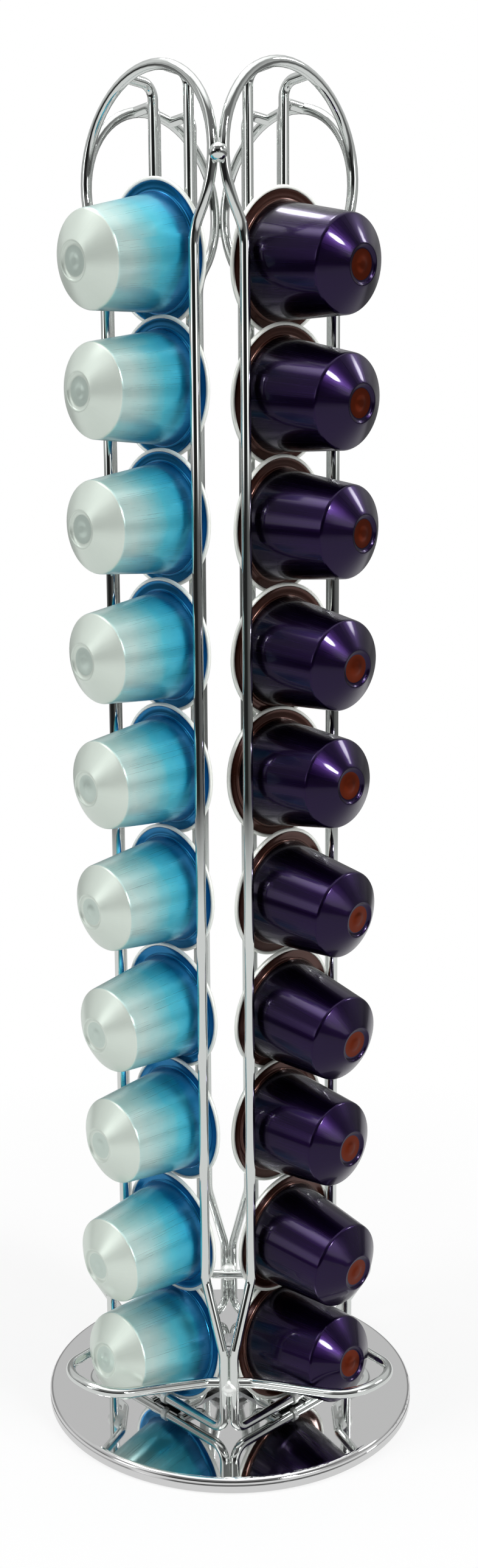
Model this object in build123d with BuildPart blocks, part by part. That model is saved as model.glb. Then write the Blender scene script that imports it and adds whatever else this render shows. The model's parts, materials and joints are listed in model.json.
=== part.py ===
"""Turning wire tower that stores and hands out single-serve coffee capsules.

A cage of bent round wire with four upright columns turns on a polished disc.
Capsules go in through the wide arch at the top of a column, slide down behind
its two front rods, and come out over the catcher ring at the foot.
Millimetres, +Z up, origin at the middle of the foot, columns along +X, +Y, -X
and -Y.
"""

import os
from math import acos, cos, degrees, radians, sin, sqrt, tan

from build123d import *

# Wire and its welds
wire_diameter = 2.75
weld_gap = 0.05
weld_bead_diameter = 5.9
weld_bead_sink = 0.9
weld_collar_diameter = 3.7
weld_collar_length = 1.5
stop_ball_diameter = 4.6
stop_ball_drop = 1.8

# Front loops, each in an upright plane in front of its column
rim_side_room = 8.0
body_side_room = 2.3
arch_rise = 20.2
shoulder_bend = 12.8
kink_height = 51.3
join_height = 30.25
kink_bend = 9.2
foot_bend = 4.2

# Inner rods, two behind each column
track_run = 8.9
inner_spacing = 13.6
inner_bend = 3.5
inner_foot_drop = 0.7

# Catcher ring
ring_height = 20.5
ring_rise = 4.4
ring_room = 9.8
ring_lobe_width = 19.2
ring_corner_run = 4.5
ring_neck_bend = 4.0
ring_lobe_flat = 2.2

# Base disc and its rubber foot
disc_radius = 55.4
disc_thickness = 4.15
disc_shoulder = 1.4
disc_underside_rim = 0.3
edge_groove_drop = 0.1
edge_groove_width = 0.5
edge_groove_depth = 0.4
foot_stand = 0.4
foot_ring_inset = 5.9
foot_ring_width = 4.6
foot_groove_depth = 1.1
foot_groove_clear = 0.1
bar_ground_clear = 1.3

# Pivot at the middle of the base
bolt_diameter = 6.0
bolt_head_diameter = 14.0
bolt_head_height = 2.0
bolt_head_clear = 0.3
socket_across_flats = 4.0
socket_depth = 1.2
bush_bore_clear = 0.05
bush_wall = 1.5
bush_flange_wall = 1.2
hub_wall = 3.0
hub_height = 4.0
hub_edge_round = 0.6
arm_side_clear = 0.925
arm_thickness = 1.2
glide_thickness = 0.8
glide_diameter = 20.0
end_play = 0.1
washer_thickness = 1.0
washer_diameter = 15.0
nut_across_flats = 10.0
nut_height = 3.0
nut_chamfer = 0.6
bolt_end_run = 0.8
bolt_end_chamfer = 0.5
thread_relief = 0.05

# Capsules
rim_diameter = 37.0
rim_thickness = 1.1
flange_thickness = 0.7
body_root_diameter = 29.6
body_shoulder_diameter = 24.2
body_shoulder_height = 24.4
tip_face_diameter = 10.4
tip_recess_diameter = 9.2
tip_recess_depth = 0.6
cup_wall = 0.4
capsule_height = 29.1
shoulder_round = 1.4
lid_diameter = 34.6
lid_thickness = 0.25
lid_clear = 0.05
capsule_clear = 0.3
stack_clear_left = 0.7
stack_clear_right = 0.4
second_lowest_forward_left = 2.1
second_lowest_forward_right = 1.5
capsules_per_column = 10

# How each capsule lies, from the top of its column down: degrees that its tip
# droops and degrees that it is turned sideways
droop_angles_front_left = [11.5, 6.25, 7.0, 7.0, 6.25, 5.5, 6.25, 2.5, 4.0, -6.5]
droop_angles_front_right = [10.75, 10.0, 7.0, 8.5, 2.5, 7.75, 9.25, 2.5, 6.25, -5.5]
turn_angles_front_left = [-1.0, -2.0, -2.0, -3.0, -3.0, -3.0, -1.0, -2.0, -1.0, 0.0]
turn_angles_front_right = [-1.0, -1.0, 3.0, -3.0, -4.0, 1.0, -2.0, -1.0, -1.0, -2.0]

# Column directions in degrees about +Z
column_angles = {
    "front_left": -90,
    "front_right": 0,
    "rear_right": 90,
    "rear_left": 180,
}

wire_radius = wire_diameter / 2
rim_radius = rim_diameter / 2
body_root_radius = body_root_diameter / 2
column_reach = rim_radius + rim_side_room
corner_half = column_reach - (wire_diameter + weld_gap) / sqrt(2)
rod_half = body_root_radius + wire_radius + body_side_room / 2
inner_reach = column_reach - track_run
inner_half = inner_spacing / 2
disc_top = foot_stand + disc_thickness
bar_height = disc_top + bar_ground_clear + wire_radius
inner_foot_height = bar_height - inner_foot_drop

# Each capsule's flange laps in front of the flange above, up to that capsule's body
stack_pitch_left = rim_radius + body_root_radius + stack_clear_left
stack_pitch_right = rim_radius + body_root_radius + stack_clear_right
seat_rise = sqrt((rim_radius + wire_radius) ** 2 - inner_half**2)
bottom_capsule_height = inner_foot_height + seat_rise
top_capsule_height = bottom_capsule_height + (capsules_per_column - 1) * stack_pitch_left
arch_centre_height = top_capsule_height + arch_rise

seat_reach = inner_reach + wire_radius + capsule_clear
ring_reach = seat_reach + capsule_height + ring_room
ring_corner = (column_reach + corner_half) / 2 - (wire_diameter + weld_gap) / sqrt(2)

os.makedirs("parts", exist_ok=True)


def save(piece, name):
    """Label a finished piece and write it under its node's name."""
    piece.label = name
    export_step(piece, f"parts/{name}.step")


def outward(angle):
    """Unit vector from the tower's axis towards a column."""
    return Vector(cos(radians(angle)), sin(radians(angle)), 0)


def sideways(angle):
    """Unit vector across a column, to the right of it seen from the axis."""
    return Vector(-sin(radians(angle)), cos(radians(angle)), 0)


def facing_plane(angle, reach):
    """Upright plane across a column: local x sideways, local y up."""
    direction = outward(angle)
    return Plane(origin=direction * reach, x_dir=sideways(angle), z_dir=direction)


def radial_plane(angle, offset):
    """Upright plane through a column: local x outward, local y up."""
    return Plane(origin=sideways(angle) * offset, x_dir=outward(angle), z_dir=-sideways(angle))


def wire_section(path):
    """Plane square to the start of a path, for the round section of the wire."""
    return Plane(origin=path @ 0, z_dir=path % 0)


# Front loops: keyhole loops, wide at the arch, narrow along the rods, wide at the foot
def loop_shoulder_angle():
    """Degrees that the wire leans out where a rod runs into the arch."""
    return degrees(acos(1 - (corner_half - rod_half) / (corner_half + shoulder_bend)))


shoulder_angle = loop_shoulder_angle()
shoulder_drop = (corner_half + shoulder_bend) * sin(radians(shoulder_angle))
shoulder_start = arch_centre_height - shoulder_drop


def make_front_loop(angle):
    """One closed loop of wire in the plane in front of a column."""
    plane = facing_plane(angle, column_reach)
    with BuildPart() as loop:
        with BuildLine(plane) as half_path:
            lower = FilletPolyline(
                (0, bar_height),
                (corner_half, bar_height),
                (corner_half, join_height),
                (rod_half, kink_height),
                (rod_half, shoulder_start),
                radius=(foot_bend, kink_bend, kink_bend),
            )
            shoulder = JernArc(
                start=(rod_half, shoulder_start),
                tangent=(0, 1),
                radius=shoulder_bend,
                arc_size=-shoulder_angle,
            )
            lean = radians(shoulder_angle)
            arch_start = (corner_half * cos(lean), arch_centre_height - corner_half * sin(lean))
            JernArc(
                start=arch_start,
                tangent=(sin(lean), cos(lean)),
                radius=corner_half,
                arc_size=90 + shoulder_angle,
            )
        path = half_path.wire()
        with BuildSketch(wire_section(path)):
            Circle(wire_radius)
        sweep(path=path)
        mirror(about=Plane(origin=(0, 0, 0), z_dir=sideways(angle)))
    return loop


loops = {}
for column, angle in column_angles.items():
    front_loop = make_front_loop(angle)
    loops[column] = front_loop
    save(front_loop.part, f"front_loop_{column}")


# Inner rods: uprights with both ends bent outward and coped onto the front loop
arch_height_at_inner = arch_centre_height + sqrt(corner_half**2 - inner_half**2)


def make_inner_rod(angle, side, loop):
    """One inner rod, on the side given by +1 or -1, fitted to its front loop."""
    plane = radial_plane(angle, side * inner_half)
    with BuildPart() as rod:
        with BuildLine(plane) as rod_line:
            FilletPolyline(
                (column_reach, inner_foot_height),
                (inner_reach, inner_foot_height),
                (inner_reach, arch_height_at_inner),
                (column_reach, arch_height_at_inner),
                radius=inner_bend,
            )
        path = rod_line.wire()
        with BuildSketch(wire_section(path)):
            Circle(wire_radius)
        sweep(path=path)
        add(loop.part, mode=Mode.SUBTRACT)
    return rod


for column, angle in column_angles.items():
    for side, hand in ((1, "right"), (-1, "left")):
        inner_rod = make_inner_rod(angle, side, loops[column])
        save(inner_rod.part, f"inner_rod_{column}_{hand}")


# Catcher ring: one closed wire with a rising lobe round the foot of each column
lobe_half = ring_lobe_width / 2
neck = ring_corner - ring_corner_run
neck_reach = ring_corner + ring_corner_run
lobe_height = ring_height + ring_rise
lobe_run = sqrt((neck - lobe_half) ** 2 + (ring_reach - neck_reach) ** 2 + ring_rise**2)
lobe_half_turn = acos((lobe_half - neck) / lobe_run) / 2
ring_lobe_bend = (lobe_half - ring_lobe_flat / 2) * tan(lobe_half_turn)
with BuildPart() as catcher_ring:
    with BuildLine() as ring_line:
        half_lobe = FilletPolyline(
            (ring_corner, -ring_corner, ring_height),
            (neck, -neck_reach, ring_height),
            (lobe_half, -ring_reach, lobe_height),
            (0, -ring_reach, lobe_height),
            radius=(ring_neck_bend, ring_lobe_bend),
        )
    ring_half_path = ring_line.wire()
    with BuildSketch(wire_section(ring_half_path)):
        Circle(wire_radius)
    sweep(path=ring_half_path)
    mirror(about=Plane.YZ)
    mirror(about=Plane(origin=(0, 0, 0), z_dir=(1, 1, 0)))
    mirror(about=Plane(origin=(0, 0, 0), z_dir=(1, -1, 0)))
save(catcher_ring.part, "catcher_ring")


# Weld beads that tie the catcher ring to the corner pairs of the loops
corner_diagonal = (column_reach + corner_half) / sqrt(2)
bead_radius = weld_bead_diameter / 2
with BuildPart() as corner_welds:
    with PolarLocations(corner_diagonal - weld_bead_sink, 4, start_angle=45):
        with Locations((0, 0, ring_height)):
            Sphere(bead_radius)
    for front_loop in loops.values():
        add(front_loop.part, mode=Mode.SUBTRACT)
    add(catcher_ring.part, mode=Mode.SUBTRACT)
save(corner_welds.part, "corner_welds")


# Weld collars where the two ends of each front loop meet in its bottom bar
with BuildPart() as bar_collars:
    for column, angle in column_angles.items():
        middle = outward(angle) * column_reach + Vector(0, 0, bar_height)
        with Locations(Plane(origin=middle, z_dir=sideways(angle))):
            Cylinder(weld_collar_diameter / 2, weld_collar_length)
    for front_loop in loops.values():
        add(front_loop.part, mode=Mode.SUBTRACT)
save(bar_collars.part, "bar_collars")


# Balls that close the groove between neighbouring arches, front and rear
ball_offset = corner_diagonal + stop_ball_diameter / 2
with BuildPart() as corner_balls:
    with PolarLocations(ball_offset, 2, start_angle=-45):
        with Locations((0, 0, arch_centre_height - stop_ball_drop)):
            Sphere(stop_ball_diameter / 2)
    for front_loop in loops.values():
        add(front_loop.part, mode=Mode.SUBTRACT)
save(corner_balls.part, "corner_balls")


# Base disc: flat plate with a rounded shoulder, a fine groove round its edge, a
# groove for the foot and a bolt pocket
pocket_radius = bolt_head_diameter / 2 + bolt_head_clear
pocket_depth = bolt_head_height + bolt_head_clear
edge_groove_top = disc_top - disc_shoulder - edge_groove_drop
edge_groove_floor = disc_radius - edge_groove_depth
foot_ring_radius = disc_radius - foot_ring_inset
groove_outer = foot_ring_radius + foot_groove_clear
groove_inner = foot_ring_radius - foot_ring_width - foot_groove_clear
with BuildPart() as base_disc:
    with BuildSketch(Plane.XZ) as disc_profile:
        with BuildLine():
            Polyline(
                (bolt_diameter / 2, disc_top),
                (disc_radius - disc_shoulder, disc_top),
            )
            ThreePointArc(
                (disc_radius - disc_shoulder, disc_top),
                (
                    disc_radius - disc_shoulder * (1 - sin(radians(45))),
                    disc_top - disc_shoulder * (1 - cos(radians(45))),
                ),
                (disc_radius, disc_top - disc_shoulder),
            )
            Polyline(
                (disc_radius, disc_top - disc_shoulder),
                (disc_radius, edge_groove_top),
                (edge_groove_floor, edge_groove_top),
                (edge_groove_floor, edge_groove_top - edge_groove_width),
                (disc_radius, edge_groove_top - edge_groove_width),
                (disc_radius, foot_stand + disc_underside_rim),
                (disc_radius - disc_underside_rim, foot_stand),
                (groove_outer, foot_stand),
                (groove_outer, foot_stand + foot_groove_depth),
                (groove_inner, foot_stand + foot_groove_depth),
                (groove_inner, foot_stand),
                (pocket_radius, foot_stand),
                (pocket_radius, foot_stand + pocket_depth),
                (bolt_diameter / 2, foot_stand + pocket_depth),
                (bolt_diameter / 2, disc_top),
            )
        make_face()
    revolve(axis=Axis.Z)
save(base_disc.part, "base_disc")


# Rubber foot ring in the groove of the disc
with BuildPart() as foot_ring:
    with BuildSketch(Plane.XY):
        Circle(foot_ring_radius)
        Circle(foot_ring_radius - foot_ring_width, mode=Mode.SUBTRACT)
    extrude(amount=foot_stand + foot_groove_depth)
save(foot_ring.part, "foot_ring")


# Glide washer between the disc and the hub
with BuildPart() as glide_washer:
    with BuildSketch(Plane.XY.offset(disc_top)):
        Circle(glide_diameter / 2)
        Circle(bolt_diameter / 2, mode=Mode.SUBTRACT)
    extrude(amount=glide_thickness)
save(glide_washer.part, "glide_washer")


# Hub: turned boss with four flat arms that pass between the inner rods' feet and
# reach the bottom bars
hub_bottom = disc_top + glide_thickness + end_play
bush_inner = bolt_diameter / 2 + bush_bore_clear
bush_outer = bush_inner + bush_wall
hub_radius = bush_outer + hub_wall
hub_top = hub_bottom + hub_height
arm_width = inner_spacing - wire_diameter - 2 * arm_side_clear
with BuildPart() as hub_cross:
    with BuildSketch(Plane.XY.offset(hub_bottom)):
        Circle(hub_radius)
    extrude(amount=hub_height)
    with BuildSketch(Plane.XY.offset(hub_bottom)):
        Rectangle(2 * column_reach, arm_width)
        Rectangle(arm_width, 2 * column_reach)
    extrude(amount=arm_thickness)
    with BuildSketch(Plane.XY.offset(hub_bottom)):
        Circle(bush_outer)
    extrude(amount=hub_height, mode=Mode.SUBTRACT)
    fillet(hub_cross.edges().group_by(Axis.Z)[-1].sort_by(SortBy.LENGTH)[-1], hub_edge_round)
    for front_loop in loops.values():
        add(front_loop.part, mode=Mode.SUBTRACT)
    add(bar_collars.part, mode=Mode.SUBTRACT)
save(hub_cross.part, "hub_cross")


# Flanged bush pressed into the hub
with BuildPart() as bush:
    with BuildSketch(Plane.XY.offset(hub_bottom)):
        Circle(bush_outer)
        Circle(bush_inner, mode=Mode.SUBTRACT)
    extrude(amount=hub_height)
    with BuildSketch(Plane.XY.offset(hub_top)):
        Circle(bush_outer + bush_wall)
        Circle(bush_inner, mode=Mode.SUBTRACT)
    extrude(amount=bush_flange_wall)
save(bush.part, "bush")


# Top washer and nut that hold the hub down
washer_bottom = hub_top + bush_flange_wall + end_play
nut_bottom = washer_bottom + washer_thickness
nut_top = nut_bottom + nut_height
with BuildPart() as top_washer:
    with BuildSketch(Plane.XY.offset(washer_bottom)):
        Circle(washer_diameter / 2)
        Circle(bolt_diameter / 2, mode=Mode.SUBTRACT)
    extrude(amount=washer_thickness)
save(top_washer.part, "top_washer")

nut_corner_radius = nut_across_flats / 2 / cos(radians(30))
with BuildPart() as nut_blank:
    with BuildSketch(Plane.XY.offset(nut_bottom)):
        Circle(nut_corner_radius)
    extrude(amount=nut_height)
    chamfer(nut_blank.edges().group_by(Axis.Z)[-1], nut_chamfer)

with BuildPart() as lock_nut:
    with BuildSketch(Plane.XY.offset(nut_bottom)):
        RegularPolygon(nut_across_flats / 2, 6, major_radius=False)
        Circle(bolt_diameter / 2 + thread_relief, mode=Mode.SUBTRACT)
    extrude(amount=nut_height)
    add(nut_blank.part, mode=Mode.INTERSECT)
save(lock_nut.part, "lock_nut")


# Pivot bolt: low round head in the pocket, shank up through hub and nut
head_bottom = foot_stand + pocket_depth - bolt_head_height
with BuildPart() as pivot_bolt:
    with BuildSketch(Plane.XY.offset(head_bottom)):
        Circle(bolt_head_diameter / 2)
    extrude(amount=bolt_head_height)
    with BuildSketch(Plane.XY.offset(foot_stand + pocket_depth)):
        Circle(bolt_diameter / 2)
    extrude(amount=nut_top + bolt_end_run - foot_stand - pocket_depth)
    chamfer(pivot_bolt.edges().group_by(Axis.Z)[-1], bolt_end_chamfer)
    with BuildSketch(Plane.XY.offset(head_bottom)):
        RegularPolygon(socket_across_flats / 2, 6, major_radius=False)
    extrude(amount=socket_depth, mode=Mode.SUBTRACT)
save(pivot_bolt.part, "pivot_bolt")


# Capsules: three shapes laid along their own axis, with the sealed face at zero
lid_seat_radius = lid_diameter / 2 + lid_clear
rim_half = rim_thickness / 2
body_shoulder_radius = body_shoulder_diameter / 2
filling_root_radius = body_root_radius - cup_wall
filling_shoulder_radius = body_shoulder_radius - cup_wall
filling_shoulder_height = body_shoulder_height - cup_wall
filling_tip_height = capsule_height - tip_recess_depth - cup_wall
tip_recess_radius = tip_recess_diameter / 2

with BuildPart() as cup_shape:
    with BuildSketch(Plane.XZ):
        with BuildLine():
            Polyline(
                (filling_root_radius, lid_thickness),
                (lid_seat_radius, lid_thickness),
                (lid_seat_radius, 0),
                (rim_radius - rim_half, 0),
            )
            ThreePointArc(
                (rim_radius - rim_half, 0),
                (rim_radius, rim_half),
                (rim_radius - rim_half, rim_thickness),
            )
            Polyline(
                (rim_radius - rim_half, rim_thickness),
                (rim_radius - rim_thickness, flange_thickness),
                (body_root_radius, flange_thickness),
            )
            FilletPolyline(
                (body_root_radius, flange_thickness),
                (body_shoulder_radius, body_shoulder_height),
                (tip_face_diameter / 2, capsule_height),
                radius=shoulder_round,
            )
            Polyline(
                (tip_face_diameter / 2, capsule_height),
                (tip_recess_radius, capsule_height),
                (tip_recess_radius, capsule_height - tip_recess_depth),
                (0, capsule_height - tip_recess_depth),
                (0, filling_tip_height),
                (tip_recess_radius, filling_tip_height),
                (filling_shoulder_radius, filling_shoulder_height),
                (filling_root_radius, lid_thickness),
            )
        make_face()
    revolve(axis=Axis.Z)

with BuildPart() as lid_shape:
    with BuildSketch(Plane.XY):
        Circle(lid_diameter / 2)
    extrude(amount=lid_thickness)

with BuildPart() as filling_shape:
    with BuildSketch(Plane.XZ):
        with BuildLine():
            Polyline(
                (0, lid_thickness),
                (filling_root_radius, lid_thickness),
                (filling_shoulder_radius, filling_shoulder_height),
                (tip_recess_radius, filling_tip_height),
                (0, filling_tip_height),
                (0, lid_thickness),
            )
        make_face()
    revolve(axis=Axis.Z)

inner_rod_chord = sqrt(rim_radius**2 - inner_half**2)


def capsule_location(angle, place, droop, turn, pitch, forward):
    """Where one capsule lies, counted from the top of its column."""
    reach = seat_reach + inner_rod_chord * sin(radians(abs(droop)))
    reach = reach + inner_half * sin(radians(abs(turn)))
    if place == capsules_per_column - 2:
        reach = reach + forward
    up = bottom_capsule_height + (capsules_per_column - 1 - place) * pitch
    middle = outward(angle) * reach + Vector(0, 0, up)
    heading = outward(angle) * cos(radians(turn)) + sideways(angle) * sin(radians(turn))
    axis = heading * cos(radians(droop)) - Vector(0, 0, 1) * sin(radians(droop))
    across = Vector(0, 0, 1).cross(heading)
    return Plane(origin=middle, x_dir=across, z_dir=axis).location


filled_columns = {
    "front_left": (
        droop_angles_front_left,
        turn_angles_front_left,
        stack_pitch_left,
        second_lowest_forward_left,
    ),
    "front_right": (
        droop_angles_front_right,
        turn_angles_front_right,
        stack_pitch_right,
        second_lowest_forward_right,
    ),
}

for column, (droops, turns, pitch, forward) in filled_columns.items():
    angle = column_angles[column]
    stack_lids = []
    stack_fillings = []
    for place in range(capsules_per_column):
        where = capsule_location(angle, place, droops[place], turns[place], pitch, forward)
        cup = cup_shape.part.moved(where)
        lid = lid_shape.part.moved(where)
        filling = filling_shape.part.moved(where)
        save(cup, f"capsule_{column}_{place + 1:02d}")
        if place == 0:
            save(lid, f"top_lid_{column}")
            save(filling, f"top_filling_{column}")
        else:
            stack_lids.append(lid)
            stack_fillings.append(filling)
    save(Compound(children=stack_lids), f"stack_lids_{column}")
    save(Compound(children=stack_fillings), f"stack_fillings_{column}")
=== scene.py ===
import json
import math

import bpy
import numpy as np
from mathutils import Matrix, Vector


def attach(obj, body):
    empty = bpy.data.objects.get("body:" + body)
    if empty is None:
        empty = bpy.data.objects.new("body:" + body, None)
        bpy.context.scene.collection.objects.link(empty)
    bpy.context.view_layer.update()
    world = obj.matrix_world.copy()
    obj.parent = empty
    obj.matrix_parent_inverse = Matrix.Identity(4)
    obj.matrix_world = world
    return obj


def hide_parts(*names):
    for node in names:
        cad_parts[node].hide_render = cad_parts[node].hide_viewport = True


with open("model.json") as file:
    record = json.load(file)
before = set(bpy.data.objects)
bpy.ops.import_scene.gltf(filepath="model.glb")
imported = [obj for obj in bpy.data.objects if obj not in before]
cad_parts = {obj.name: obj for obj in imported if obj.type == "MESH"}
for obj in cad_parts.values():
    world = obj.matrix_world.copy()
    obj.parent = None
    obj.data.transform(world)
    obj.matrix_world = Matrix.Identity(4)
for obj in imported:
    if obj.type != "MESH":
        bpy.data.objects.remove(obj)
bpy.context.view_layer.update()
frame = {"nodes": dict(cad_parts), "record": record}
nodes = frame["nodes"]
scene = bpy.context.scene
MM = 0.001

# ---------- node helpers ----------

# the range that most of a noise texture's values lie in
NOISE_LOW, NOISE_HIGH = 0.3, 0.7


def new_material(name):
    material = bpy.data.materials.new(name)
    material.use_nodes = True
    tree = material.node_tree
    return material, tree, tree.nodes["Principled BSDF"]


def empty_tree(owner):
    owner.use_nodes = True
    owner.node_tree.nodes.clear()
    return owner.node_tree


def link(tree, a, b):
    tree.links.new(a, b)


def add_node(tree, kind, **values):
    node = tree.nodes.new(kind)
    for key, value in values.items():
        setattr(node, key, value)
    return node


def calculate(tree, operation, first, second):
    """Math node of two values; the second may be a plain number."""
    node = add_node(tree, "ShaderNodeMath", operation=operation)
    link(tree, first, node.inputs[0])
    if isinstance(second, float):
        node.inputs[1].default_value = second
    else:
        link(tree, second, node.inputs[1])
    return node.outputs[0]


def split(tree, vector):
    node = add_node(tree, "ShaderNodeSeparateXYZ")
    link(tree, vector, node.inputs["Vector"])
    return node.outputs


def scaled(tree, vector, scale):
    node = add_node(tree, "ShaderNodeMapping")
    node.inputs["Scale"].default_value = scale
    link(tree, vector, node.inputs["Vector"])
    return node.outputs["Vector"]


def object_coordinates(tree, scale):
    coordinates = add_node(tree, "ShaderNodeTexCoord")
    return scaled(tree, coordinates.outputs["Object"], scale)


def noise(tree, vector, scale, detail=3.0, rough=0.5):
    node = add_node(tree, "ShaderNodeTexNoise")
    node.inputs["Scale"].default_value = scale
    node.inputs["Detail"].default_value = detail
    node.inputs["Roughness"].default_value = rough
    link(tree, vector, node.inputs["Vector"])
    return node.outputs["Fac"]


def spread(tree, value, low, high, start=NOISE_LOW, end=NOISE_HIGH):
    """Maps start..end to low..high, and holds the ends."""
    node = add_node(tree, "ShaderNodeMapRange")
    node.inputs["From Min"].default_value = start
    node.inputs["From Max"].default_value = end
    node.inputs["To Min"].default_value = low
    node.inputs["To Max"].default_value = high
    link(tree, value, node.inputs["Value"])
    return node.outputs["Result"]


def ramp(tree, value, stops, interpolation="EASE"):
    node = add_node(tree, "ShaderNodeValToRGB")
    node.color_ramp.interpolation = interpolation
    elements = node.color_ramp.elements
    while len(elements) < len(stops):
        elements.new(0.5)
    for element, (position, colour) in zip(elements, stops):
        element.position = position
        element.color = (*colour, 1.0)
    link(tree, value, node.inputs["Fac"])
    return node.outputs["Color"]


def bump(tree, shader, height, strength, distance):
    node = add_node(tree, "ShaderNodeBump")
    node.inputs["Strength"].default_value = strength
    node.inputs["Distance"].default_value = distance
    link(tree, height, node.inputs["Height"])
    link(tree, node.outputs["Normal"], shader.inputs["Normal"])


def mix_shaders(tree, factor, first, second):
    node = add_node(tree, "ShaderNodeMixShader")
    link(tree, factor, node.inputs[0])
    link(tree, first, node.inputs[1])
    link(tree, second, node.inputs[2])
    return node.outputs[0]


# ---------- materials by slot ----------

METAL_RELIEF, PLAIN_RELIEF = 0.0004, 0.0003
METAL_STRETCH = (1, 1, 0.35)
DARK_SHARE = 0.7


def metal(name, colour, rough, wave=0.0, scale=120.0, metallic=1.0):
    """One colour, a roughness that varies between two levels, and a faint relief when wave is set.
    """
    material, tree, shader = new_material(name)
    shader.inputs["Metallic"].default_value = metallic
    shader.inputs["Base Color"].default_value = (*colour, 1.0)
    value = noise(tree, object_coordinates(tree, METAL_STRETCH), scale)
    link(tree, spread(tree, value, *rough), shader.inputs["Roughness"])
    if wave:
        bump(tree, shader, value, wave, METAL_RELIEF)
    return material


def plain(name, colour, rough, scale, strength):
    """A mottled colour with a fine relief."""
    material, tree, shader = new_material(name)
    value = noise(tree, object_coordinates(tree, (1, 1, 1)), scale)
    darker = tuple(c * DARK_SHARE for c in colour)
    mottled = ramp(tree, value, [(NOISE_LOW, darker), (NOISE_HIGH, colour)])
    link(tree, mottled, shader.inputs["Base Color"])
    shader.inputs["Roughness"].default_value = rough
    bump(tree, shader, value, strength, PLAIN_RELIEF)
    return material


chrome = metal("chromed_wire", (0.78, 0.81, 0.79), (0.03, 0.07), wave=0.05, scale=90.0)
weld_chrome = metal(
    "chromed_weld", (0.84, 0.86, 0.84), (0.25, 0.4), wave=0.5, scale=900.0, metallic=0.6
)
disc_metal = metal("polished_disc", (0.79, 0.79, 0.79), (0.04, 0.06))
hub_metal = metal("hub_steel", (0.74, 0.75, 0.77), (0.12, 0.2))
fastener = metal("fastener_steel", (0.66, 0.66, 0.67), (0.2, 0.32))
rim_metal = metal(
    "capsule_rim", (0.86, 0.88, 0.83), (0.3, 0.4), wave=0.05, scale=500.0, metallic=0.35
)
lid_foil = metal(
    "lid_foil", (0.88, 0.88, 0.88), (0.3, 0.42), wave=0.2, scale=700.0, metallic=0.4
)
foot_rubber = plain("foot_rubber", (0.035, 0.035, 0.035), 0.8, 900.0, 0.4)
nylon = plain("bearing_nylon", (0.78, 0.78, 0.75), 0.45, 300.0, 0.05)
coffee = plain("ground_coffee", (0.09, 0.045, 0.02), 0.9, 1500.0, 0.8)

CUP_MAP = "capsule"
# noise scales round the capsule and along it
LINES, PATCHES = (220.0, 1.2), (7.0, 3.5)


def capsule_coordinates(tree):
    """The capsule's UV map, and its place along the capsule: 0 at the flange, 1 at the tip."""
    uv = add_node(tree, "ShaderNodeUVMap", uv_map=CUP_MAP).outputs["UV"]
    return uv, split(tree, uv)["Y"]


def drawn_noise(tree, uv, scale):
    return noise(tree, scaled(tree, uv, (*scale, 1)), scale=1.0, detail=4.0, rough=0.6)


def anodised(name, stops, rough, coat, coat_rough, metallic, streak, wobble=0.0):
    """Anodised cup: colour by the place along it, with fine lines from flange to tip."""
    material, tree, shader = new_material(name)
    uv, place = capsule_coordinates(tree)
    lines = drawn_noise(tree, uv, LINES)
    if wobble:
        shift = spread(tree, drawn_noise(tree, uv, PATCHES), -wobble, wobble)
        place = calculate(tree, "ADD", place, shift)
    shade = add_node(tree, "ShaderNodeVectorMath", operation="SCALE")
    link(tree, ramp(tree, place, stops, "LINEAR"), shade.inputs[0])
    link(tree, spread(tree, lines, 1.0 - streak, 1.0 + streak), shade.inputs["Scale"])
    link(tree, shade.outputs["Vector"], shader.inputs["Base Color"])
    link(tree, spread(tree, lines, *rough), shader.inputs["Roughness"])
    shader.inputs["Metallic"].default_value = metallic
    shader.inputs["Coat Weight"].default_value = coat
    shader.inputs["Coat Roughness"].default_value = coat_rough
    return material


blue_body = anodised(
    "blue_body",
    [
        (0.03, (0.006, 0.12, 0.29)),
        (0.14, (0.007, 0.18, 0.38)),
        (0.20, (0.020, 0.36, 0.55)),
        (0.38, (0.075, 0.46, 0.57)),
        (0.50, (0.20, 0.51, 0.55)),
        (0.62, (0.34, 0.57, 0.57)),
        (0.75, (0.46, 0.62, 0.59)),
    ],
    rough=(0.26, 0.33), coat=0.25, coat_rough=0.2, metallic=0.6, streak=0.035, wobble=0.05,
)
blue_flange = anodised(
    "blue_flange", [(0.0, (0.006, 0.18, 0.41)), (1.0, (0.006, 0.20, 0.45))],
    rough=(0.22, 0.26), coat=0.2, coat_rough=0.12, metallic=0.85, streak=0.0,
)
silver_cone = anodised(
    "silver_cone", [(0.7, (0.62, 0.69, 0.63)), (1.0, (0.60, 0.67, 0.61))],
    rough=(0.31, 0.36), coat=0.0, coat_rough=0.3, metallic=0.55, streak=0.02,
)
silver_seal = anodised(
    "silver_seal", [(0.9, (0.54, 0.63, 0.58)), (1.0, (0.50, 0.59, 0.54))],
    rough=(0.3, 0.4), coat=0.0, coat_rough=0.3, metallic=0.6, streak=0.02,
)
purple_body = anodised(
    "purple_body",
    [
        (0.03, (0.010, 0.008, 0.016)),
        (0.35, (0.014, 0.006, 0.034)),
        (0.73, (0.016, 0.005, 0.043)),
    ],
    rough=(0.23, 0.29), coat=0.26, coat_rough=0.07, metallic=0.95, streak=0.20,
)
purple_cone = anodised(
    "purple_cone", [(0.7, (0.016, 0.005, 0.044)), (1.0, (0.014, 0.005, 0.037))],
    rough=(0.26, 0.32), coat=0.36, coat_rough=0.05, metallic=0.95, streak=0.05,
)
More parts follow.
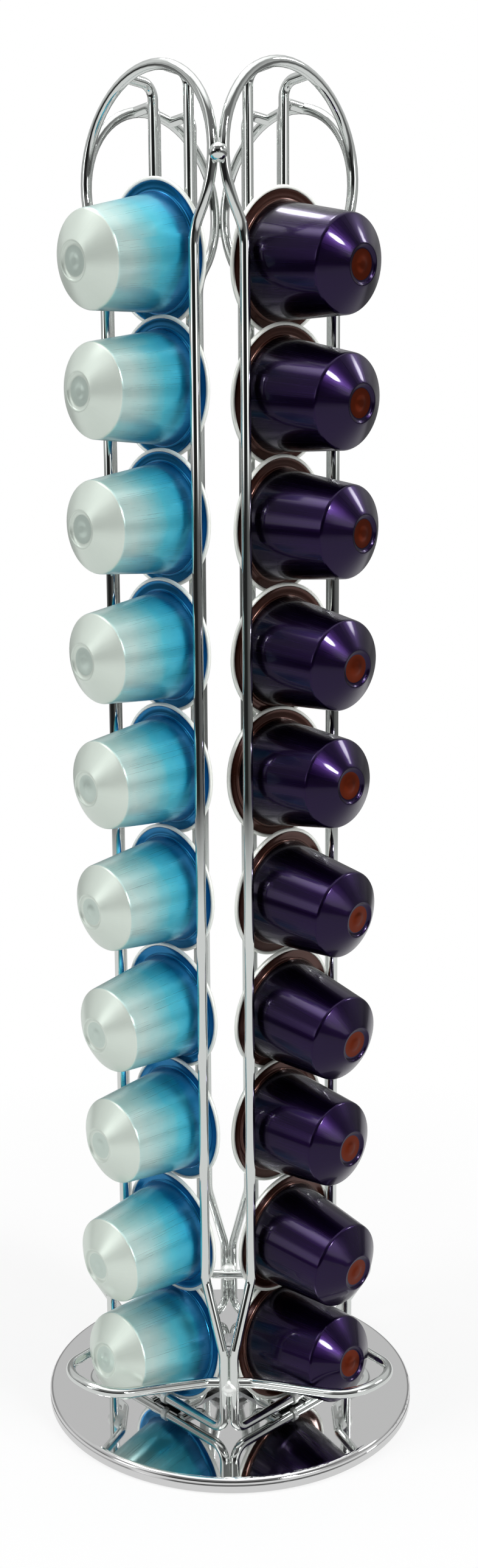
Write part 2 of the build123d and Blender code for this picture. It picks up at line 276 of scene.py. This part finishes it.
purple_flange = anodised(
    "purple_flange", [(0.0, (0.070, 0.022, 0.014)), (1.0, (0.055, 0.018, 0.012))],
    rough=(0.22, 0.26), coat=0.5, coat_rough=0.12, metallic=0.8, streak=0.0,
)
purple_seal = anodised(
    "purple_seal", [(0.95, (0.17, 0.024, 0.007)), (1.0, (0.14, 0.020, 0.006))],
    rough=(0.3, 0.4), coat=0.0, coat_rough=0.2, metallic=0.95, streak=0.02,
)

slot_materials = {
    "chromed_wire": chrome,
    "polished_disc": disc_metal,
    "foot_rubber": foot_rubber,
    "hub_steel": hub_metal,
    "fastener_steel": fastener,
    "bearing_nylon": nylon,
    "blue_foil": blue_body,
    "purple_foil": purple_body,
    "lid_foil": lid_foil,
    "ground_coffee": coffee,
}
weld_nodes = ("corner_welds", "bar_collars")
for part in frame["record"]["subparts"]:
    node = nodes[part["node"]]
    finish = slot_materials[part["material_slot"]]
    if part["node"] in weld_nodes:
        finish = weld_chrome
    node.data.materials.clear()
    node.data.materials.append(finish)
    for polygon in node.data.polygons:
        polygon.use_smooth = True

# ---------- capsules ----------

# sizes in millimetres, angles in degrees; heights are from the sealed side
RIM, RIM_BEAD, FLANGE = 18.5, 0.55, 0.7
ROOT, SHOULDER, SHOULDER_AT = 14.8, 12.1, 24.4
TIP_FACE, RECESS, RECESS_DEEP, HEIGHT = 5.2, 4.6, 0.6, 29.1
LID_SEAT, LID, LID_EDGE = 17.35, 0.25, 0.04
CURL_START, CURL_END, CURL_STEPS = -110, 130, 14
ROOT_FILLET, ROOT_FILLET_OUT, ROOT_FILLET_UP = 0.75, 0.72, 1.50
ROOT_FILLET_START, ROOT_FILLET_END, ROOT_FILLET_STEPS = 268, 190, 7
BODY_START, BODY_STOP, BODY_STEPS = 1.7, 1.2, 14
SHOULDER_BEND, SHOULDER_STEPS, SHOULDER_MIDDLE = 1.3, 9, 5
CONE_STEPS, CONE_SWELL, CONE_STOP = 8, 0.10, 0.12
SIDES = 72

# places in a capsule's list of materials
ROLLED, LEDGE, BODY, CONE, SEAL = range(5)
# rows of radius, height over the flange, the tip or the dimple's floor, and material
LEDGE_ROWS = [
    (17.55, 0.06, ROLLED), (17.35, -0.02, LEDGE), (16.6, -0.06, LEDGE),
    (16.0, 0.0, LEDGE), (ROOT + ROOT_FILLET, 0.06, LEDGE),
]
TIP_ROWS = [
    (TIP_FACE - 0.05, -0.06, CONE), (5.0, 0.0, CONE), (4.75, -0.05, CONE), (RECESS, -0.2, CONE),
]
DIMPLE_ROWS = [
    (4.25, 0.06, CONE), (3.7, 0.02, CONE), (3.2, 0.02, SEAL), (2.3, 0.05, SEAL),
    (1.7, 0.14, SEAL), (1.3, 0.30, SEAL), (0.7, 0.36, SEAL), (0.0, 0.37, SEAL),
]


def arc(centre, radius, start, end, count):
    """Points on an arc; angles in degrees, in the plane of radius and height."""
    points = []
    for i in range(count + 1):
        a = math.radians(start + (end - start) * i / count)
        points.append((centre[0] + radius * math.cos(a), centre[1] + radius * math.sin(a)))
    return points


def capsule_profile():
    """(radius, height, material) rows from the sealed side round to the tip."""
    rows = [(0.0, LID, ROLLED), (LID_SEAT, LID, ROLLED), (LID_SEAT, LID_EDGE, ROLLED)]
    curl = arc((RIM - RIM_BEAD, RIM_BEAD), RIM_BEAD, CURL_START, CURL_END, CURL_STEPS)
    rows += [(r, h, ROLLED) for r, h in curl]
    rows += [(r, FLANGE + h, part) for r, h, part in LEDGE_ROWS]
    fillet_middle = (ROOT + ROOT_FILLET_OUT, ROOT_FILLET_UP)
    fillet = arc(
        fillet_middle, ROOT_FILLET, ROOT_FILLET_START, ROOT_FILLET_END, ROOT_FILLET_STEPS
    )
    rows += [(r, h, LEDGE) for r, h in fillet]
    body_slope = (ROOT - SHOULDER) / (SHOULDER_AT - FLANGE)
    for i in range(1, BODY_STEPS + 1):
        h = BODY_START + (SHOULDER_AT - BODY_STOP - BODY_START) * i / BODY_STEPS
        rows.append((ROOT - body_slope * (h - FLANGE), h, BODY))
    lean = math.atan(body_slope)
    cone = math.atan2(SHOULDER - TIP_FACE, HEIGHT - SHOULDER_AT)
    back = SHOULDER_BEND * math.tan((cone - lean) / 2)
    middle = (
        SHOULDER + body_slope * back - SHOULDER_BEND * math.cos(lean),
        SHOULDER_AT - back * math.cos(lean) - SHOULDER_BEND * math.sin(lean),
    )
    shoulder = arc(middle, SHOULDER_BEND, math.degrees(lean), math.degrees(cone), SHOULDER_STEPS)
    for i, (r, h) in enumerate(shoulder):
        rows.append((r, h, BODY if i < SHOULDER_MIDDLE else CONE))
    last_r, last_h, _ = rows[-1]
    for i in range(1, CONE_STEPS):
        t = i / CONE_STEPS
        swell = CONE_SWELL * math.sin(math.pi * t)
        r = last_r + (TIP_FACE - last_r) * t + swell * math.cos(cone)
        h = last_h + (HEIGHT - CONE_STOP - last_h) * t + swell * math.sin(cone)
        rows.append((r, h, CONE))
    rows += [(r, HEIGHT + h, part) for r, h, part in TIP_ROWS]
    rows += [(r, HEIGHT - RECESS_DEEP + h, part) for r, h, part in DIMPLE_ROWS]
    return rows


PROFILE = capsule_profile()


def capsule_mesh(name, materials, turn):
    """A turned capsule along +Z, with its coordinates in a UV map."""
    vertices, faces, slots, uvs = [], [], [], []
    rings = []
    for radius, height, _ in PROFILE:
        if radius == 0.0:
            rings.append([len(vertices)])
            vertices.append((0.0, 0.0, height * MM))
            continue
        ring = []
        for k in range(SIDES):
            a = 2 * math.pi * k / SIDES + turn
            ring.append(len(vertices))
            vertices.append((radius * MM * math.cos(a), radius * MM * math.sin(a), height * MM))
        rings.append(ring)
    for i in range(len(PROFILE) - 1):
        low, high = rings[i], rings[i + 1]
        v0, v1 = PROFILE[i][1] / HEIGHT, PROFILE[i + 1][1] / HEIGHT
        for k in range(SIDES):
            u0, u1 = k / SIDES, (k + 1) / SIDES
            n = (k + 1) % SIDES
            if len(low) == 1:
                faces.append((low[0], high[n], high[k]))
                uvs += [(u0, v0), (u1, v1), (u0, v1)]
            elif len(high) == 1:
                faces.append((low[k], low[n], high[0]))
                uvs += [(u0, v0), (u1, v0), (u0, v1)]
            else:
                faces.append((low[k], low[n], high[n], high[k]))
                uvs += [(u0, v0), (u1, v0), (u1, v1), (u0, v1)]
            slots.append(PROFILE[i + 1][2])
    mesh = bpy.data.meshes.new(name)
    mesh.from_pydata(vertices, [], faces)
    layer = mesh.uv_layers.new(name=CUP_MAP)
    layer.data.foreach_set("uv", np.array(uvs, np.float32).ravel())
    for material in materials:
        mesh.materials.append(material)
    mesh.polygons.foreach_set("material_index", slots)
    mesh.polygons.foreach_set("use_smooth", [True] * len(faces))
    mesh.update()
    return mesh


# the inner rods that the flanges lean on, in millimetres: how far out they stand, their wire,
# the room between it and a flange, half their spacing, and the height of their feet, which
# the lowest flange stands on
INNER_REACH, WIRE, CLEAR = 17.6, 2.75, 0.3
INNER_HALF, FOOT_HEIGHT = 6.8, 6.525
FIRST_UP = FOOT_HEIGHT + math.sqrt((RIM + WIRE / 2) ** 2 - INNER_HALF**2)
CHORD = math.sqrt(RIM**2 - INNER_HALF**2)
PER_COLUMN = 10
# the capsule just above the lowest stands forward of the others
FORWARD_PLACE = 8
SEAM_STEP = 37
# angles in degrees, forward and pitch in millimetres, and one entry a capsule from the top down
COLUMNS = {
    "front_left": {
        "angle": -90,
        "droop": [11.5, 6.25, 7.0, 7.0, 6.25, 5.5, 6.25, 2.5, 4.0, -6.5],
        "turn": [-1.0, -2.0, -2.0, -3.0, -3.0, -3.0, -1.0, -2.0, -1.0, 0.0],
        "seam": 11,
        "forward": 2.1,
        "pitch": RIM + ROOT + 0.7,
        "materials": [rim_metal, blue_flange, blue_body, silver_cone, silver_seal],
        "slot": "blue_foil",
        "top": "top_capsule_left",
    },
    "front_right": {
        "angle": 0,
        "droop": [10.75, 10.0, 7.0, 8.5, 2.5, 7.75, 9.25, 2.5, 6.25, -5.5],
        "turn": [-1.0, -1.0, 3.0, -3.0, -4.0, 1.0, -2.0, -1.0, -1.0, -2.0],
        "seam": 0,
        "forward": 1.5,
        "pitch": RIM + ROOT + 0.4,
        "materials": [rim_metal, purple_flange, purple_body, purple_cone, purple_seal],
        "slot": "purple_foil",
        "top": "top_capsule_right",
    },
}


def capsule_pose(facts, place):
    """The capsule's place in its column, as a matrix in metres."""
    angle = math.radians(facts["angle"])
    droop = math.radians(facts["droop"][place])
    turn = math.radians(facts["turn"][place])
    out = Vector((math.cos(angle), math.sin(angle), 0))
    side = Vector((-out.y, out.x, 0))
    reach = INNER_REACH + WIRE / 2 + CLEAR + CHORD * math.sin(abs(droop))
    reach += INNER_HALF * math.sin(abs(turn))
    if place == FORWARD_PLACE:
        reach += facts["forward"]
    height = FIRST_UP + (PER_COLUMN - 1 - place) * facts["pitch"]
    middle = out * reach + Vector((0, 0, height))
    heading = out * math.cos(turn) + side * math.sin(turn)
    axis = heading * math.cos(droop) - Vector((0, 0, math.sin(droop)))
    across = Vector((0, 0, 1)).cross(heading)
    third = axis.cross(across)
    matrix = Matrix((across, third, axis)).transposed().to_4x4()
    matrix.translation = middle * MM
    return matrix


for column, facts in COLUMNS.items():
    for place in range(PER_COLUMN):
        name = "cup_%s_%02d" % (column, place + 1)
        turned = math.radians(SEAM_STEP * place + facts["seam"])
        mesh = capsule_mesh(name, facts["materials"], turned)
        cup = bpy.data.objects.new(name, mesh)
        scene.collection.objects.link(cup)
        mesh.transform(capsule_pose(facts, place))
        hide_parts("capsule_%s_%02d" % (column, place + 1))
        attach(cup, facts["top"] if place == 0 else "tower")

# ---------- stage ----------

# what polished metal reflects: grey levels by bearing in degrees about +Z
STRIPS = [
    (-180, 0.30), (-150, 0.55), (-138, 0.40), (-122, 0.20), (-116, 0.6), (-112, 2.5),
    (-104, 2.5), (-99, 0.6), (-91, 0.30), (-78, 0.03), (-70, 0.012), (-27, 0.012),
    (-17, 0.10), (-11, 1.8), (3, 1.8), (9, 0.8), (17, 0.45), (60, 0.42),
    (90, 0.28), (130, 0.30), (180, 0.30),
]
ROOM = [
    (-180, 0.20), (-150, 0.14), (-135, 0.04), (-110, 0.015), (-50, 0.015), (-28, 0.09),
    (20, 0.13), (60, 0.14), (100, 0.16), (180, 0.20),
]
UPPER = [
    (-180, 0.60), (-145, 0.70), (-120, 0.42), (-85, 0.16), (15, 0.16), (38, 0.30),
    (60, 0.60), (180, 0.60),
]
CEILING = 1.3
# the room is lowest; each layer above it fades in between two values of a direction's Z
LAYERS = [(0.05, 0.10, STRIPS), (0.30, 0.42, UPPER), (0.75, 0.9, CEILING)]
# spots that raise the level: bearing, height, half width and soft edge in degrees, and the level
BOXES = [
    (-9, 27, 2.2, 2.0, 560.0), (55, 36, 3, 3, 44.0), (158, 61, 5, 3, 15.0),
    (-125, 56, 6, 5, 5.0), (-96, 34, 5, 8, 3.0),
]
AMBIENT = 0.45
LAMP_TARGET = (0, 0, 0.2)

FLOOR_HALF = 6.0
FLOOR_GREY = 0.68
# distances in metres from the middle of the foot
GLOW_FROM, GLOW_TO, GLOW_NEAR = 0.12, 0.3, 0.8
TABLE_FROM, TABLE_TO, TABLE_LEVEL = 0.75, 1.3, 0.74


def by_bearing(tree, around, levels):
    """Grey level from a list of bearings, for a split direction."""
    bearing = calculate(tree, "ARCTAN2", around["Y"], around["X"])
    turn = spread(tree, bearing, 0.0, 1.0, -math.pi, math.pi)
    return ramp(tree, turn, [((b + 180) / 360, (v, v, v)) for b, v in levels], "LINEAR")


def blend(tree, factor, first, second):
    """Mix of two colours; the second may be a grey level."""
    mixed = add_node(tree, "ShaderNodeMix", data_type="RGBA")
    link(tree, factor, mixed.inputs["Factor"])
    link(tree, first, mixed.inputs[6])
    if isinstance(second, float):
        mixed.inputs[7].default_value = (second, second, second, 1)
    else:
        link(tree, second, mixed.inputs[7])
    return mixed.outputs[2]


def floor_material():
    """Pale floor that fades to plain white; polished metal sees a table in a dim room."""
    material = bpy.data.materials.new("floor_white")
    tree = empty_tree(material)
    output = add_node(tree, "ShaderNodeOutputMaterial")
    diffuse = add_node(tree, "ShaderNodeBsdfDiffuse")
    diffuse.inputs["Color"].default_value = (FLOOR_GREY, FLOOR_GREY, FLOOR_GREY, 1)
    glow = add_node(tree, "ShaderNodeEmission")
    glow.inputs["Color"].default_value = (1, 1, 1, 1)
    glow.inputs["Strength"].default_value = 1.0
    path = add_node(tree, "ShaderNodeLightPath").outputs
    place = add_node(tree, "ShaderNodeTexCoord").outputs["Object"]
    reach = add_node(tree, "ShaderNodeVectorMath", operation="LENGTH")
    link(tree, place, reach.inputs[0])
    reach = reach.outputs["Value"]

    seen = calculate(tree, "MAXIMUM", path["Is Camera Ray"], path["Is Glossy Ray"])
    seen = calculate(tree, "MAXIMUM", seen, path["Is Transmission Ray"])
    fade = spread(tree, reach, GLOW_NEAR, 1.0, GLOW_FROM, GLOW_TO)
    share = calculate(tree, "MULTIPLY", seen, fade)
    pale = mix_shaders(tree, share, diffuse.outputs[0], glow.outputs[0])

    nearness = spread(tree, reach, 1.0, 0.0, TABLE_FROM, TABLE_TO)
    table = blend(tree, nearness, by_bearing(tree, split(tree, place), ROOM), TABLE_LEVEL)
    mirrored = add_node(tree, "ShaderNodeEmission")
    link(tree, table, mirrored.inputs["Color"])
    whole = mix_shaders(tree, path["Is Glossy Ray"], pale, mirrored.outputs[0])
    link(tree, whole, output.inputs["Surface"])
    return material


def build_floor():
    mesh = bpy.data.meshes.new("floor")
    corners = [(x * FLOOR_HALF, y * FLOOR_HALF, 0) for x, y in ((-1, -1), (1, -1), (1, 1), (-1, 1))]
    mesh.from_pydata(corners, [], [(0, 1, 2, 3)])
    floor = bpy.data.objects.new("floor", mesh)
    scene.collection.objects.link(floor)
    mesh.materials.append(floor_material())


def background(tree, level):
    node = add_node(tree, "ShaderNodeBackground")
    node.inputs["Color"].default_value = (1, 1, 1, 1)
    node.inputs["Strength"].default_value = level
    return node.outputs[0]


def soft_box(tree, direction, bearing, height, half_width, edge, level):
    """Rises from nothing to the level within a cone about one direction."""
    b, h = math.radians(bearing), math.radians(height)
    towards = add_node(tree, "ShaderNodeVectorMath", operation="DOT_PRODUCT")
    link(tree, direction, towards.inputs[0])
    aim = (math.cos(b) * math.cos(h), math.sin(b) * math.cos(h), math.sin(h))
    towards.inputs[1].default_value = aim
    far = math.cos(math.radians(half_width + edge))
    near = math.cos(math.radians(half_width))
    return spread(tree, towards.outputs["Value"], 0.0, level, far, near)


def build_world():
    """Even soft light, a studio for polished metal to reflect, and plain white behind."""
    world = bpy.data.worlds.new("studio")
    scene.world = world
    tree = empty_tree(world)
    output = add_node(tree, "ShaderNodeOutputWorld")
    path = add_node(tree, "ShaderNodeLightPath").outputs
    direction = add_node(tree, "ShaderNodeTexCoord").outputs["Generated"]
    around = split(tree, direction)

    levels = by_bearing(tree, around, ROOM)
    for start, end, layer in LAYERS:
        above = layer if isinstance(layer, float) else by_bearing(tree, around, layer)
        levels = blend(tree, spread(tree, around["Z"], 0.0, 1.0, start, end), levels, above)
    boxes = [soft_box(tree, direction, *box) for box in BOXES]
    total = boxes[0]
    for box in boxes[1:]:
        total = calculate(tree, "ADD", total, box)
    studio = add_node(tree, "ShaderNodeBackground")
    link(tree, levels, studio.inputs["Color"])
    link(tree, calculate(tree, "ADD", total, 1.0), studio.inputs["Strength"])

    soft = background(tree, AMBIENT)
    lit = mix_shaders(tree, path["Is Glossy Ray"], soft, studio.outputs[0])
    clear = calculate(tree, "MAXIMUM", path["Is Camera Ray"], path["Is Transmission Ray"])
    whole = mix_shaders(tree, clear, lit, background(tree, 1.0))
    link(tree, whole, output.inputs["Surface"])


def area_light(name, place, size, power):
    """A rectangular lamp aimed at the tower, which polished metal doesn't show."""
    lamp = bpy.data.lights.new(name, "AREA")
    lamp.shape = "RECTANGLE"
    lamp.size, lamp.size_y = size
    lamp.energy = power
    holder = bpy.data.objects.new(name, lamp)
    holder.location = place
    holder.rotation_mode = "QUATERNION"
    aim = Vector(LAMP_TARGET) - Vector(place)
    holder.rotation_quaternion = aim.to_track_quat("-Z", "Y")
    holder.visible_glossy = False
    scene.collection.objects.link(holder)


build_floor()
build_world()
# places and sizes in metres, power in watts
area_light("key_left", (-0.35, -1.1, 0.75), (0.5, 0.9), 12)
area_light("fill_right", (1.15, 0.1, 0.7), (0.35, 0.9), 15)
area_light("top_soft", (0.1, -0.1, 1.5), (0.8, 0.8), 7)

# ---------- camera ----------

# lengths in pixels of the picture, then metres, then degrees
FOCAL_PX, LONG_SIDE, SHORT_SIDE = 2385.0, 2576.0, 786.0
CENTRE_X, CENTRE_Y = 304.5, 1369.6
DISTANCE, HEIGHT_UP = 0.41663, 0.24374
AZIMUTH, PITCH, ROLL, YAW = (math.radians(a) for a in (45.21, 9.50, -0.763, -1.585))
SENSOR = 36.0


def camera_matrix():
    """Turned by yaw, then pitch, then roll, from level and facing the tower's axis."""
    up = Vector((0, 0, 1))
    forward = Vector((-math.sin(AZIMUTH), math.cos(AZIMUTH), 0))
    right = Vector((math.cos(AZIMUTH), math.sin(AZIMUTH), 0))
    yawed = forward * math.cos(YAW) + right * math.sin(YAW)
    across = right * math.cos(YAW) - forward * math.sin(YAW)
    look = yawed * math.cos(PITCH) - up * math.sin(PITCH)
    pitched = up * math.cos(PITCH) + yawed * math.sin(PITCH)
    x_axis = across * math.cos(ROLL) + pitched * math.sin(ROLL)
    y_axis = pitched * math.cos(ROLL) - across * math.sin(ROLL)
    matrix = Matrix((x_axis, y_axis, -look)).transposed().to_4x4()
    place = (math.sin(AZIMUTH) * DISTANCE, -math.cos(AZIMUTH) * DISTANCE, HEIGHT_UP)
    matrix.translation = Vector(place)
    return matrix


camera_data = bpy.data.cameras.new("camera")
camera_data.sensor_fit = "AUTO"
camera_data.sensor_width = SENSOR
camera_data.lens = SENSOR * FOCAL_PX / LONG_SIDE
camera_data.shift_x = (SHORT_SIDE / 2 - CENTRE_X) / LONG_SIDE
camera_data.shift_y = (CENTRE_Y - LONG_SIDE / 2) / LONG_SIDE
camera_data.clip_start, camera_data.clip_end = 0.01, 50
camera = bpy.data.objects.new("camera", camera_data)
camera.matrix_world = camera_matrix()
scene.collection.objects.link(camera)
scene.camera = camera
scene.view_settings.view_transform = "Standard"
